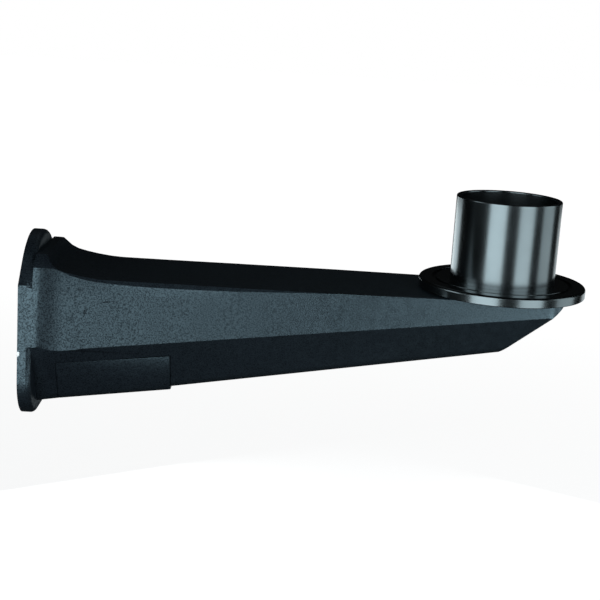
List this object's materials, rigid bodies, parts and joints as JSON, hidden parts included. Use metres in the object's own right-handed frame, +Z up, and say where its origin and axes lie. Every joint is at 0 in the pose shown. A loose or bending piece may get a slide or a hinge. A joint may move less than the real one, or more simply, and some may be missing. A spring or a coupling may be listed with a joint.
{
  "type": "street lamp bracket arm",
  "caption": "Wall bracket arm for a street lantern: hollow cast arm with an arched wall flange, an upright tube spigot on a round collar and a screwed access cover underneath.",
  "frame": {"origin": "middle of the wall bolt pattern, in the plane of the flange's back face", "axes": "+X runs out from the wall along the arm, +Z is up along the spigot, +Y is across the arm"},
  "size_m": [0.4035, 0.121, 0.1743],
  "materials": {
    "arm_coat": "satin black powder coat with a fine texture, over a casting",
    "spigot_paint": "smooth semi-gloss black paint over turned metal",
    "spigot_screw_steel": "zinc-plated steel",
    "cover_screw_black": "black-oxide steel"
  },
  "bodies": {
    "root": {"arm_casting": "arm_coat", "spigot": "spigot_paint", "spigot_screws": "spigot_screw_steel", "access_cover": "arm_coat", "cover_screws": "cover_screw_black"}
  },
  "joints": []
}
